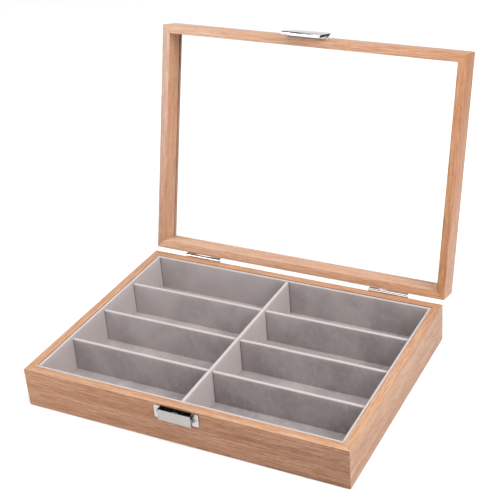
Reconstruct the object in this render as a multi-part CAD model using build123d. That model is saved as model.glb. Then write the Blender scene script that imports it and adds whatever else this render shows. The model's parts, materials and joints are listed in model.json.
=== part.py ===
# Sunglasses organizer box: wood case with eight velvet slots and a hinged, glazed lid.
# Frame: X across the front, Y from front to back, Z up, millimetres.
# The origin is the middle of the underside. The lid is shown open on its hinge stops.
from build123d import *
import math
import os

os.makedirs("parts", exist_ok=True)

# Case
case_width = 340.0
case_depth = 250.0
case_height = 42.0
case_wall = 8.8
outer_round = 1.0
cut_past = 1.0
touching = 0.01
panel_thickness = 2.0
panel_rebate = 4.0

# Velvet covered boards inside the case
pad_thickness = 0.8
liner_thickness = 3.0
divider_thickness = 3.8
slot_rows = 4
board_clearance = 0.1
rim_drop = 0.2
centre_drop = 0.8
cross_drop = 3.2
board_round = 1.0

# Lid
lid_thickness = 27.5
lid_member = 8.9
lid_seam = 0.3
lid_open_deg = 104.4
glass_thickness = 2.0
glass_depth = 21.5
glass_bite = 2.5
glass_clearance = 0.15

# Hinges
hinge_inset = 60.0
hinge_width = 42.0
hinge_middle = 21.0
leaf_thickness = 1.0
leaf_height = 12.0
knuckle_radius = 2.3
knuckle_setback = 1.7
knuckle_gap = 0.2
pin_radius = 1.1
pin_clearance = 0.05
pin_cap = 0.7
pin_cap_inset = 0.2
pin_end_play = 0.1
dome_share = 0.6
stop_nib_depth = 1.0
stop_clearance = 0.06

# Hinge screws
hinge_screw_spread = 26.0
hinge_screw_radius = 0.9
hinge_screw_length = 6.5
hinge_head_radius = 1.9
hinge_head_height = 0.8
screw_clearance = 0.03
screw_tip_gap = 0.3

# Catch on the case front
plate_width = 46.5
plate_height = 13.7
plate_thickness = 0.9
plate_below_rim = 1.9
plate_round = 1.5
lever_width = 34.5
lever_height = 11.6
lever_below_rim = 2.8
lever_reach = 5.2
lever_sheet = 0.9
lever_heel = 0.15
lever_foot_reach = 3.6
lever_round = 0.35
lever_pin_below_rim = 5.0
lever_pin_reach = 2.9
lever_pin_radius = 0.7
lever_ear_thickness = 0.9
lever_ear_gap = 0.25
lever_ear_radius = 1.2
lever_head_radius = 1.6
lever_head_height = 0.6

# Torsion spring on the lever's pin
spring_wire = 0.35
spring_turns = 5
spring_pitch = 0.95
spring_pin_gap = 0.1
spring_leg = 7.0
spring_end_ease = 0.18
spring_points_per_turn = 8

# Hasp on the lid front
hasp_width = 43.5
hasp_overhang = 15.6
hasp_top = 12.0
hasp_inside = 5.7
hasp_sheet = 0.8
hasp_lip_reach = 3.4
hasp_lip_gap = 0.3
hasp_heel = 0.1
hasp_round = 0.35
hasp_base_bottom = 4.0
hasp_base_height = 8.0
hasp_pin_above_seam = 4.0
hasp_pin_reach = 2.4
hasp_pin_radius = 0.8
hasp_ear_thickness = 0.8
hasp_ear_gap = 0.25
hasp_ear_radius = 1.5
hasp_head_radius = 1.3
hasp_head_height = 0.5
hasp_top_cheek = 0.2
hasp_cheek_bottom = 0.6
hasp_cheek_rise = 1.2
hasp_cheek_lift = 0.6

# Screws of the catch and the hasp
catch_screw_spread = 40.5
hasp_screw_spread = 24.0
hasp_screw_above_pin = 4.6
small_screw_radius = 0.8
small_screw_length = 5.5
small_head_radius = 1.3
small_head_height = 0.6
head_slot_width = 0.35
head_slot_depth = 0.25

# Places worked out from the sizes
front_y = -case_depth / 2
back_y = case_depth / 2
inner_width = case_width - 2 * case_wall
inner_depth = case_depth - 2 * case_wall
floor_top = panel_thickness + pad_thickness
board_top = case_height - rim_drop
centre_top = board_top - centre_drop
cross_top = board_top - cross_drop
lap_z = (floor_top + cross_top) / 2
lined_width = inner_width - 2 * (board_clearance + liner_thickness)
lined_depth = inner_depth - 2 * (board_clearance + liner_thickness)
slot_pitch = (lined_depth + divider_thickness) / slot_rows
lid_bottom = case_height + lid_seam
lid_top = lid_bottom + lid_thickness
hinge_x = case_width / 2 - hinge_inset
knuckle_y = back_y + leaf_thickness + knuckle_setback
knuckle_end = (hinge_width - hinge_middle) / 2
knuckle_relief = math.sqrt(knuckle_radius**2 - knuckle_setback**2) + knuckle_gap
leaf_bottom = case_height - leaf_height - knuckle_radius / 2
leaf_top = case_height + leaf_height + knuckle_radius / 2
case_screw_z = case_height - leaf_height / 2 - knuckle_radius / 2
lid_screw_z = case_height + leaf_height / 2 + knuckle_radius / 2
lever_top = case_height - lever_below_rim
lever_bottom = lever_top - lever_height
lever_pin_z = case_height - lever_pin_below_rim
plate_top = case_height - plate_below_rim
plate_middle_z = plate_top - plate_height / 2
hasp_bottom = case_height - hasp_overhang
hasp_end = case_height + hasp_top
hasp_outside = hasp_inside + hasp_sheet
hasp_pin_z = case_height + hasp_pin_above_seam
hasp_screw_z = hasp_pin_z + hasp_screw_above_pin


def block(x0, x1, y0, y1, z0, z1):
    # A box between two corners.
    return Pos((x0 + x1) / 2, (y0 + y1) / 2, (z0 + z1) / 2) * Box(x1 - x0, y1 - y0, z1 - z0)


def rod_x(radius, x0, x1, y, z):
    # A round bar along X.
    return Pos((x0 + x1) / 2, y, z) * Rot(0, 90, 0) * Cylinder(radius, x1 - x0)


def rod_y(radius, x, y0, y1, z):
    # A round bar along Y.
    return Pos(x, (y0 + y1) / 2, z) * Rot(90, 0, 0) * Cylinder(radius, y1 - y0)


def side_profile(points, x0, x1):
    # A flat outline in Y and Z, made solid from x0 to x1.
    outline = Polyline(*[(x0, y, z) for y, z in points], close=True)
    return extrude(make_face(outline), amount=x1 - x0, dir=(1, 0, 0))


def off_front(reach):
    # The Y of a point that stands off the front face.
    return front_y - reach


def opened(shape):
    # A piece of the closed lid, turned about the hinge line to the open angle.
    turn = Pos(0, knuckle_y, case_height) * Rot(-lid_open_deg, 0, 0) * Pos(0, -knuckle_y, -case_height)
    return turn * shape


def frame_ring(width, depth, member, z0, z1):
    # Four walls as one ring, with its outer edges lightly rounded.
    x = width / 2
    y = depth / 2
    hole = block(-x + member, x - member, -y + member, y - member, z0 - cut_past, z1 + cut_past)
    ring = block(-x, x, -y, y, z0, z1) - hole
    outside = ring.edges().filter_by(lambda edge: is_outside(edge.center(), x, y))
    return fillet(outside, outer_round)


def is_outside(point, x, y):
    # Whether a point lies on one of the four outer faces.
    return abs(point.X) > x - touching or abs(point.Y) > y - touching


def wedge(corners, z0, z1):
    # A flat outline in X and Y, made solid from z0 to z1.
    outline = Polyline(*[(x, y, z0) for x, y in corners], close=True)
    return extrude(make_face(outline), z1 - z0, dir=(0, 0, 1))


def mitred(ring, width, depth, member, z0, z1):
    # The ring cut at its corners into front, back, left and right members.
    reach = 2 * member
    x = width / 2
    y = depth / 2
    front = wedge([(-x, -y), (x, -y), (x - reach, -y + reach), (-x + reach, -y + reach)], z0, z1)
    left = wedge([(-x, -y), (-x, y), (-x + reach, y - reach), (-x + reach, -y + reach)], z0, z1)
    return {
        "front": ring & front,
        "back": ring & mirror(front, about=Plane.XZ),
        "left": ring & left,
        "right": ring & mirror(left, about=Plane.YZ),
    }


def back_pilot(x, z):
    # Pilot hole of a hinge screw, from the back face.
    radius = hinge_screw_radius + screw_clearance
    return rod_y(radius, x, back_y - hinge_screw_length, back_y + cut_past, z)


def front_pilot(x, z):
    # Pilot hole of a small screw, from the front face.
    radius = small_screw_radius + screw_clearance
    return rod_y(radius, x, front_y - cut_past, front_y + small_screw_length, z)


def case_walls():
    # Mitred walls with the rebate for the bottom panel and the pilot holes of the screws.
    ring = frame_ring(case_width, case_depth, case_wall, 0, case_height)
    rebate_x = inner_width / 2 + panel_rebate
    rebate_y = inner_depth / 2 + panel_rebate
    ring = ring - block(-rebate_x, rebate_x, -rebate_y, rebate_y, -cut_past, panel_thickness)
    walls = mitred(ring, case_width, case_depth, case_wall, 0, case_height)
    for x, z in hinge_screw_places(case_screw_z):
        walls["back"] = walls["back"] - back_pilot(x, z)
    for x in catch_screw_places():
        walls["front"] = walls["front"] - front_pilot(x, plate_middle_z)
    return walls


def bottom_panel():
    # The floor board, let into the rebate and flush with the underside.
    x = inner_width / 2 + panel_rebate - board_clearance
    y = inner_depth / 2 + panel_rebate - board_clearance
    return block(-x, x, -y, y, 0, panel_thickness)


def floor_pad():
    # The velvet covered board that lies on the bottom panel.
    x = inner_width / 2 - board_clearance
    y = inner_depth / 2 - board_clearance
    return block(-x, x, -y, y, panel_thickness, floor_top)


def soft_board(x0, x1, y0, y1, top):
    # A board on the floor pad, whose upper edges are rounded by its velvet cover.
    board = block(x0, x1, y0, y1, floor_top, top)
    upper = board.edges().filter_by(lambda edge: edge.center().Z > top - touching)
    return fillet(upper, board_round)


def liners():
    # Four boards that line the walls. The front and back ones run the full width.
    x = inner_width / 2 - board_clearance
    y = inner_depth / 2 - board_clearance
    front = soft_board(-x, x, -y, -y + liner_thickness, board_top)
    end = y - liner_thickness - board_clearance
    left = soft_board(-x, -x + liner_thickness, -end, end, board_top)
    return {
        "front": front,
        "back": mirror(front, about=Plane.XZ),
        "left": left,
        "right": mirror(left, about=Plane.YZ),
    }


def cross_divider_places():
    # The Y of each cross divider, from the front.
    return [(row - slot_rows / 2) * slot_pitch for row in range(1, slot_rows)]


def centre_divider():
    # Front to back board, notched from below over each cross divider.
    y = lined_depth / 2 - board_clearance
    half = divider_thickness / 2
    board = soft_board(-half, half, -y, y, centre_top)
    notch = half + board_clearance
    for place in cross_divider_places():
        board = board - block(
            -notch, notch, place - notch, place + notch, floor_top - cut_past, lap_z + board_clearance
        )
    return board


def cross_divider(place):
    # Side to side board, notched from above for the centre divider.
    x = lined_width / 2 - board_clearance
    half = divider_thickness / 2
    board = soft_board(-x, x, place - half, place + half, cross_top)
    notch = half + board_clearance
    return board - block(-notch, notch, place - notch, place + notch, lap_z, cross_top + cut_past)


def lid_members():
    # Mitred members with the groove for the pane and the pilot holes of the screws.
    ring = frame_ring(case_width, case_depth, lid_member, lid_bottom, lid_top)
    x = case_width / 2 - lid_member + glass_bite + glass_clearance
    y = case_depth / 2 - lid_member + glass_bite + glass_clearance
    z = lid_bottom + glass_depth
    groove = block(-x, x, -y, y, z - glass_clearance, z + glass_thickness + glass_clearance)
    members = mitred(ring - groove, case_width, case_depth, lid_member, lid_bottom, lid_top)
    for x, z in hinge_screw_places(lid_screw_z):
        members["back"] = members["back"] - back_pilot(x, z)
    for x in hasp_screw_places():
        members["front"] = members["front"] - front_pilot(x, hasp_screw_z)
    return members


def lid_glass():
    # The pane, held in the groove of the four members.
    x = case_width / 2 - lid_member + glass_bite
    y = case_depth / 2 - lid_member + glass_bite
    z = lid_bottom + glass_depth
    return block(-x, x, -y, y, z, z + glass_thickness)


def hinge_screw_places(z):
    # X and Z of the two screws of each hinge leaf.
    return [
        (side * hinge_x + end * hinge_screw_spread / 2, z) for side in (-1, 1) for end in (-1, 1)
    ]


def catch_screw_places():
    # X of the two screws in the wings of the catch's base plate.
    return [-catch_screw_spread / 2, catch_screw_spread / 2]


def hasp_screw_places():
    # X of the two screws of the hasp's base plate.
    return [-hasp_screw_spread / 2, hasp_screw_spread / 2]


def knuckles(spans, x):
    # Tubes around the hinge line, one for each span of X.
    tubes = None
    for start, end in spans:
        tube = rod_x(knuckle_radius, x + start, x + end, knuckle_y, case_height)
        tubes = tube if tubes is None else tubes + tube
    return tubes


def pin_bore(x):
    # The hole that every knuckle of one hinge shares.
    half = hinge_width / 2 + cut_past
    return rod_x(pin_radius + pin_clearance, x - half, x + half, knuckle_y, case_height)


def hinge_spans():
    # X spans of the knuckles: the outer two belong to the case leaf, the middle one to the lid leaf.
    half = hinge_width / 2
    outer = [(-half, -half + knuckle_end), (half - knuckle_end, half)]
    middle = [(-hinge_middle / 2 + knuckle_gap, hinge_middle / 2 - knuckle_gap)]
    return outer, middle


def leaf_screw_holes(x, z):
    # Clearance holes through one leaf.
    holes = None
    for end in (-1, 1):
        hole = rod_y(
            hinge_screw_radius + screw_clearance,
            x + end * hinge_screw_spread / 2,
            back_y - cut_past,
            back_y + leaf_thickness + cut_past,
            z,
        )
        holes = hole if holes is None else holes + hole
    return holes


def case_leaf(x):
    # Leaf on the back of the case, with the two outer knuckles.
    outer, middle = hinge_spans()
    half = hinge_width / 2
    face = back_y + leaf_thickness
    leaf = block(x - half, x + half, back_y, face, leaf_bottom, case_height)
    low_corners = leaf.edges().filter_by(Axis.Y).group_by(Axis.Z)[0]
    leaf = fillet(low_corners, plate_round)
    window = hinge_middle / 2
    leaf = leaf - block(
        x - window,
        x + window,
        back_y - cut_past,
        face + cut_past,
        case_height - knuckle_relief,
        case_height + cut_past,
    )
    leaf = leaf + knuckles(outer, x)
    return leaf - pin_bore(x) - leaf_screw_holes(x, case_screw_z)


def lid_leaf(x):
    # Leaf on the back of the lid, with the middle knuckle and the nib that stops the lid.
    outer, middle = hinge_spans()
    half = hinge_width / 2
    face = back_y + leaf_thickness
    leaf = block(x - half, x + half, back_y, face, lid_bottom, leaf_top)
    high_corners = leaf.edges().filter_by(Axis.Y).group_by(Axis.Z)[-1]
    leaf = fillet(high_corners, plate_round)
    for start, end in outer:
        leaf = leaf - block(
            x + start - knuckle_gap,
            x + end + knuckle_gap,
            back_y - cut_past,
            face + cut_past,
            lid_bottom - cut_past,
            case_height + knuckle_relief,
        )
    leaf = leaf + knuckles(middle, x)
    leaf = opened(leaf - pin_bore(x) - leaf_screw_holes(x, lid_screw_z))
    start, end = middle[0]
    nib_top = case_height - knuckle_relief - knuckle_gap
    nib = block(
        x + start,
        x + end,
        face + stop_clearance,
        knuckle_y,
        nib_top - stop_nib_depth,
        nib_top,
    )
    bore = pin_bore(x)
    return leaf + (nib - bore)


def hinge_pin(x):
    # Pin through the three knuckles, with a low cap at each end.
    half = hinge_width / 2 + pin_end_play
    pin = headed_pin(pin_radius, half, knuckle_y, case_height, knuckle_radius - pin_cap_inset, pin_cap)
    return Pos(x, 0, 0) * pin


def screw_in_back(x, z):
    # Round headed screw, driven forwards into the wood from behind.
    face = back_y + leaf_thickness
    shank = rod_y(hinge_screw_radius, x, back_y - hinge_screw_length + screw_tip_gap, face, z)
    head = rod_y(hinge_head_radius, x, face, face + hinge_head_height, z)
    rim = head.edges().filter_by(GeomType.CIRCLE).sort_by(Axis.Y)[-1]
    head = fillet(rim, hinge_head_height * dome_share)
    slot = block(
        x - hinge_head_radius,
        x + hinge_head_radius,
        face + hinge_head_height - head_slot_depth,
        face + hinge_head_height + cut_past,
        z - head_slot_width / 2,
        z + head_slot_width / 2,
    )
    return shank + head - slot


def screw_in_front(x, z):
    # Small round headed screw, driven backwards into the wood through a plate on the front.
    face = off_front(plate_thickness)
    shank = rod_y(small_screw_radius, x, face, front_y + small_screw_length - screw_tip_gap, z)
    head = rod_y(small_head_radius, x, face - small_head_height, face, z)
    rim = head.edges().filter_by(GeomType.CIRCLE).sort_by(Axis.Y)[0]
    head = fillet(rim, small_head_height * dome_share)
    slot = block(
        x - head_slot_width / 2,
        x + head_slot_width / 2,
        face - small_head_height - cut_past,
        face - small_head_height + head_slot_depth,
        z - small_head_radius,
        z + small_head_radius,
    )
    return shank + head - slot


def ear(x0, x1, y_root, pin_reach, pin_z, radius, bore):
    # A tab that stands off a base plate and carries a pin.
    y = off_front(pin_reach)
    tab = block(x0, x1, y, y_root, pin_z - radius, pin_z + radius)
    tab = tab + rod_x(radius, x0, x1, y, pin_z)
    return tab - rod_x(bore, x0 - cut_past, x1 + cut_past, y, pin_z)


def plate_hole(x, z):
    # Clearance hole for a small screw through a base plate.
    radius = small_screw_radius + screw_clearance
    return rod_y(radius, x, off_front(plate_thickness) - cut_past, front_y + cut_past, z)


def catch_base_plate():
    # Plate with a screwed wing at each side and two ears for the lever's pin.
    half = plate_width / 2
    plate = block(-half, half, off_front(plate_thickness), front_y, plate_top - plate_height, plate_top)
    plate = fillet(plate.edges().filter_by(Axis.Y), plate_round)
    for x in catch_screw_places():
        plate = plate - plate_hole(x, plate_middle_z)
    outside = lever_width / 2 - lever_sheet - lever_ear_gap
    inside = outside - lever_ear_thickness
    root = off_front(plate_thickness / 2)
    bore = lever_pin_radius + pin_clearance / 2
    plate = plate + ear(inside, outside, root, lever_pin_reach, lever_pin_z, lever_ear_radius, bore)
    return plate + ear(-outside, -inside, root, lever_pin_reach, lever_pin_z, lever_ear_radius, bore)


def catch_lever():
    # Bent sheet: a front plate and two cheeks that hang on the pin. Its lower edge holds the hasp's lip.
    half = lever_width / 2
    heel = plate_thickness + lever_heel
    face = off_front(lever_reach)
    outline = [
        (face, lever_bottom),
        (face, lever_top),
        (off_front(heel), lever_top),
        (off_front(heel), lever_pin_z),
        (off_front(lever_foot_reach), lever_bottom),
    ]
    lever = side_profile(outline, -half, half)
    front_edges = lever.edges().filter_by(lambda edge: edge.center().Y < face + touching)
    lever = fillet(front_edges, lever_round)
    inner = half - lever_sheet
    hollow = block(-inner, inner, face + lever_sheet, front_y, lever_bottom - cut_past, lever_top + cut_past)
    end = half + cut_past
    bore = rod_x(lever_pin_radius + pin_clearance, -end, end, off_front(lever_pin_reach), lever_pin_z)
    return lever - hollow - bore


def headed_pin(radius, half, y, z, head_radius, head_height):
    # Cross pin with a low round head at each end.
    pin = rod_x(radius, -half, half, y, z)
    for end in (-1, 1):
        near = end * half
        far = end * (half + head_height)
        head = rod_x(head_radius, min(near, far), max(near, far), y, z)
        rim = head.edges().filter_by(GeomType.CIRCLE).sort_by(Axis.X)
        pin = pin + fillet(rim[-1] if end > 0 else rim[0], head_height * dome_share)
    return pin


def catch_pin():
    # The lever's pin. Its right head shows on the cheek.
    half = lever_width / 2 + pin_end_play
    y = off_front(lever_pin_reach)
    return headed_pin(lever_pin_radius, half, y, lever_pin_z, lever_head_radius, lever_head_height)


def spring_points():
    # Points along the turns of the torsion spring, which are closest together at the middle.
    radius = lever_pin_radius + spring_pin_gap + spring_wire / 2
    y = off_front(lever_pin_reach)
    turns = spring_turns + 0.5
    steps = int(turns * spring_points_per_turn)
    points = []
    for step in range(steps + 1):
        share = step / steps
        angle = 2 * math.pi * turns * share
        eased = share - math.sin(2 * math.pi * share) / (2 * math.pi) * spring_end_ease
        x = (eased - 0.5) * spring_pitch * turns
        points.append((x, y + radius * math.cos(angle), lever_pin_z + radius * math.sin(angle)))
    return points


def catch_spring():
    # One unbroken wire: each quarter turn is an arc through three points of the winding.
    points = spring_points()
    first = points[0]
    last = points[-1]
    pieces = [Line((first[0], first[1], first[2] - spring_leg), first)]
    for start in range(0, len(points) - 2, 2):
        pieces.append(ThreePointArc(points[start], points[start + 1], points[start + 2]))
    pieces.append(Line(last, (last[0], last[1], last[2] - spring_leg)))
    path = Wire(pieces)
    start_plane = Plane(origin=pieces[0] @ 0, z_dir=(0, 0, 1))
    return sweep(start_plane * Circle(spring_wire / 2), path=path)


def spring_gap():
    # The least gap between one turn of the spring and the next.
    points = spring_points()
    turn = spring_points_per_turn
    least = min(math.dist(points[i], points[i + turn]) for i in range(len(points) - turn))
    return least - spring_wire


def hasp_base_plate():
    # Plate on the lid front, with an ear for the hasp's pin at each end.
    outside = hasp_width / 2 + hasp_ear_gap + hasp_ear_thickness
    inside = outside - hasp_ear_thickness
    bottom = case_height + hasp_base_bottom
    plate = block(-outside, outside, off_front(plate_thickness), front_y, bottom, bottom + hasp_base_height)
    for x in hasp_screw_places():
        plate = plate - plate_hole(x, hasp_screw_z)
    root = off_front(plate_thickness / 2)
    bore = hasp_pin_radius + pin_clearance / 2
    plate = plate + ear(inside, outside, root, hasp_pin_reach, hasp_pin_z, hasp_ear_radius, bore)
    return plate + ear(-outside, -inside, root, hasp_pin_reach, hasp_pin_z, hasp_ear_radius, bore)


def hasp():
    # Bent sheet that rocks on its pin: a cover plate, two cheeks and a lip that goes under the lever.
    half = hasp_width / 2
    heel = plate_thickness + hasp_heel
    face = off_front(hasp_outside)
    outline = [
        (face, hasp_bottom),
        (face, hasp_end),
        (off_front(hasp_inside - hasp_top_cheek), hasp_end),
        (off_front(heel + hasp_cheek_lift), hasp_pin_z + hasp_cheek_rise),
        (off_front(heel), hasp_pin_z),
        (off_front(heel), lid_bottom + hasp_cheek_bottom),
        (off_front(hasp_lip_reach), hasp_bottom),
    ]
    shape = side_profile(outline, -half, half)
    front_edges = shape.edges().filter_by(lambda edge: edge.center().Y < face + touching)
    shape = fillet(front_edges, hasp_round)
    inner = half - hasp_sheet
    lip_top = lever_bottom - hasp_lip_gap
    hollow = block(-inner, inner, face + hasp_sheet, front_y, lip_top, hasp_end + cut_past)
    end = half + cut_past
    bore = rod_x(hasp_pin_radius + pin_clearance, -end, end, off_front(hasp_pin_reach), hasp_pin_z)
    return shape - hollow - bore


def hasp_pin():
    # The hasp's pin, with its heads outside the ears.
    half = hasp_width / 2 + hasp_ear_gap + hasp_ear_thickness + pin_end_play
    y = off_front(hasp_pin_reach)
    return headed_pin(hasp_pin_radius, half, y, hasp_pin_z, hasp_head_radius, hasp_head_height)


nodes = {}

for name, wall in case_walls().items():
    nodes["case_" + name] = wall
nodes["bottom_panel"] = bottom_panel()
nodes["floor_pad"] = floor_pad()
for name, board in liners().items():
    nodes["liner_" + name] = board
nodes["divider_centre"] = centre_divider()
for number, place in enumerate(cross_divider_places(), start=1):
    nodes["divider_cross_" + str(number)] = cross_divider(place)

member_names = {"front": "front_rail", "back": "back_rail", "left": "left_stile", "right": "right_stile"}
for name, member in lid_members().items():
    nodes["lid_" + member_names[name]] = opened(member)
nodes["lid_glass"] = opened(lid_glass())

for side, x in (("left", -hinge_x), ("right", hinge_x)):
    nodes["hinge_case_leaf_" + side] = case_leaf(x)
    nodes["hinge_lid_leaf_" + side] = lid_leaf(x)
    nodes["hinge_pin_" + side] = hinge_pin(x)
nodes["hinge_screws_case"] = Compound(
    children=[screw_in_back(x, z) for x, z in hinge_screw_places(case_screw_z)]
)
nodes["hinge_screws_lid"] = Compound(
    children=[opened(screw_in_back(x, z)) for x, z in hinge_screw_places(lid_screw_z)]
)

nodes["catch_base_plate"] = catch_base_plate()
nodes["catch_lever"] = catch_lever()
nodes["catch_pin"] = catch_pin()
nodes["catch_spring"] = catch_spring()
nodes["catch_screws"] = Compound(children=[screw_in_front(x, plate_middle_z) for x in catch_screw_places()])

nodes["hasp_base_plate"] = opened(hasp_base_plate())
nodes["hasp"] = opened(hasp())
nodes["hasp_pin"] = opened(hasp_pin())
nodes["hasp_screws"] = Compound(
    children=[opened(screw_in_front(x, hasp_screw_z)) for x in hasp_screw_places()]
)

for name, shape in nodes.items():
    export_step(shape, "parts/" + name + ".step")

print("nodes", len(nodes))
print("spring least gap", round(spring_gap(), 3))
print("slot", round(lined_width / 2 - divider_thickness / 2, 2), round(slot_pitch - divider_thickness, 2))
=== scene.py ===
# Sunglasses organizer box: the looks of its wood case, velvet slots, glazed lid and chrome hardware.
# It is laid out as a Blender add-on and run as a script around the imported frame, in metres.
import json
import math

import bmesh
import bpy
from bpy.props import FloatProperty, FloatVectorProperty, IntProperty, PointerProperty
from mathutils import Matrix, Vector, noise


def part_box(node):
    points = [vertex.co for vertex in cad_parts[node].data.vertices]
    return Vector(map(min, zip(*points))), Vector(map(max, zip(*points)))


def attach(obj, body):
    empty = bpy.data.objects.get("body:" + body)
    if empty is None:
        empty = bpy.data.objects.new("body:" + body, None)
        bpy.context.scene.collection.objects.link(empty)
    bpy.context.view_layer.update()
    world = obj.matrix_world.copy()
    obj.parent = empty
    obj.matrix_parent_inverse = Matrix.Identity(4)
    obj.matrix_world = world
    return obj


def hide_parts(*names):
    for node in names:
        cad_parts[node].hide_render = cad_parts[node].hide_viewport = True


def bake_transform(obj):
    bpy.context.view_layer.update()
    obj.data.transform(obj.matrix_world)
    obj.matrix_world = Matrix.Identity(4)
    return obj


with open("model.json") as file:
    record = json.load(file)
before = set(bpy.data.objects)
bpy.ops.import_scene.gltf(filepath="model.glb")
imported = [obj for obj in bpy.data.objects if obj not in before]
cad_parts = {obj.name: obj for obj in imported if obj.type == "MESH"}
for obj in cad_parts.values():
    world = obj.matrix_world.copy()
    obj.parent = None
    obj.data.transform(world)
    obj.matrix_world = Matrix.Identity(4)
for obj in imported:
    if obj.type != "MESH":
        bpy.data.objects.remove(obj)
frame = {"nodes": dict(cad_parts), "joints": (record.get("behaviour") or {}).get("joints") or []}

bl_info = {
    "name": "Sunglasses organizer box",
    "version": (1, 0, 0),
    "blender": (4, 5, 0),
    "location": "3D View > Sidebar > Organizer box",
    "description": "Models and dresses a wood box with eight velvet slots and a glazed lid",
    "category": "Add Mesh",
}

NEAR = 1e-5  # places within this distance, in metres, count as one
PAD_REACH = 0.006  # how far from the boards the floor pad dips, in metres
QUARTER = math.radians(-90.0)  # turns the grain's X along the members at the sides
SMOOTH = 38.0  # faces that meet at less than this, in degrees, are shaded as one surface
SMOOTH_METAL = 20.0  # the same for sheet metal, whose flats stay flat beside their broken edges
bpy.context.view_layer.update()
lid_joint = next(joint for joint in frame["joints"] if joint["name"] == "lid_hinge")
hinge_line = Vector(lid_joint["pos_m"])
lid_open = math.radians(lid_joint["range_deg"][1])
opening = Matrix.Rotation(-lid_open, 3, "X")

front_low, front_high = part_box("case_front")
panel_low, panel_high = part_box("bottom_panel")
case_half_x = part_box("case_right")[1].x
case_half_y = -front_low.y


def closed_box(node):
    """Lowest and highest corner of a node of the lid, turned back to the closed lid."""
    back = opening.inverted()
    corners = frame["nodes"][node].data.vertices
    places = [back @ (corner.co - hinge_line) + hinge_line for corner in corners]
    low = Vector([min(place[axis] for place in places) for axis in range(3)])
    high = Vector([max(place[axis] for place in places) for axis in range(3)])
    return low, high


rail_low, rail_high = closed_box("lid_front_rail")
pane_low, pane_high = closed_box("lid_glass")
lid_slide = (opening.inverted() @ hinge_line - hinge_line).y


def length(label, about, default):
    """A length in metres that shows in the sidebar."""
    return FloatProperty(
        name=label, description=about, default=default, min=0.0, unit="LENGTH", precision=5
    )


def colour(label, about, default):
    """A colour that shows in the sidebar."""
    return FloatVectorProperty(
        name=label, description=about, default=default, size=3, min=0.0, max=1.0, subtype="COLOR"
    )


def amount(label, about, default, most=1.0):
    """A plain number that shows in the sidebar."""
    return FloatProperty(name=label, description=about, default=default, min=0.0, max=most)


def angle(label, about, degrees):
    """An angle that shows in the sidebar."""
    return FloatProperty(name=label, description=about, default=math.radians(degrees), subtype="ANGLE")


class BoxWood(bpy.types.PropertyGroup):
    """Sizes and colours of the wood members, the panel and the pane."""

    wall: length("Case wall", "Thickness of the case walls", front_high.y - front_low.y)
    member: length("Lid member", "Width of the lid's rails and stiles", rail_high.y - rail_low.y)
    outer_round: length("Outer round", "Radius of the outer edges and corners", 0.001)
    arris: length("Arris", "Width taken off the sharp edges and the mitre seams", 0.00012)
    glass_play: length("Glass play", "Room around the pane in its groove", 0.00015)
    panel_play: length("Panel play", "Room around the bottom panel in its rebate", 0.0001)
    glass_arris: length("Glass arris", "Width ground off the edges of the pane", 0.0003)
    # Painted light: the front wall is painted darker than the side walls, and darker still towards its
    # right end as painted shade.
    front: colour("Front wood", "Colour of the front wall at its left end", (0.39, 0.195, 0.102))
    front_shaded: colour("Deep front", "Colour of the front wall at its right end", (0.255, 0.122, 0.065))
    side: colour("Side wood", "Colour of the side walls", (0.385, 0.216, 0.130))
    # The top edges carry their own warmer tone; their lighter and darker tones from wall to wall are
    # painted light.
    rim: colour("Rim", "Colour of the top edge of the front and right walls", (0.50, 0.277, 0.162))
    rim_left: colour("Left rim", "Colour of the top edge of the left wall", (0.53, 0.312, 0.195))
    rim_back: colour("Back rim", "Colour of the top edge of the back wall", (0.457, 0.243, 0.137))
    # The lid is one wood, painted lighter and darker as painted light: the shaded tones stand in for
    # shade that differs from member to member, from face to face and along each member.
    lid: colour("Lid wood", "Colour of the palest wood of the lid", (0.63, 0.405, 0.285))
    lid_shaded: colour("Warm lid wood", "Colour of the warm wood of the lid", (0.46, 0.23, 0.12))
    stile: colour("Left stile", "Colour of the left stile at its front end", (0.505, 0.343, 0.268))
    stile_shaded: colour("Warm stile", "Colour of the left stile at its back end", (0.498, 0.289, 0.193))
    # Painted shade: the outer faces of the stiles at the lid's ends are painted darker, paler towards the
    # back.
    edge: colour("Lid ends", "Colour of the lid's ends at the front", (0.315, 0.12, 0.03))
    edge_pale: colour("Pale lid ends", "Colour of the lid's ends at the back", (0.43, 0.235, 0.142))
    # Painted shade: the lip behind the pane is painted dark brown on the left stile alone; the other
    # members' lips take their inner tone.
    lip: colour("Lip", "Colour of the stained lip behind the pane", (0.17, 0.08, 0.045))
    board: colour("Panel board", "Colour of the bottom panel", (0.40, 0.25, 0.15))
    bands: amount("Bands", "How much the wide bands of the grain lighten the wood", 0.2)
    streaks: amount("Streaks", "How much the fine streaks of the grain darken the wood", 0.3)
    pores: amount("Pores", "How much the pores of the grain darken the wood", 0.3)


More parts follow.
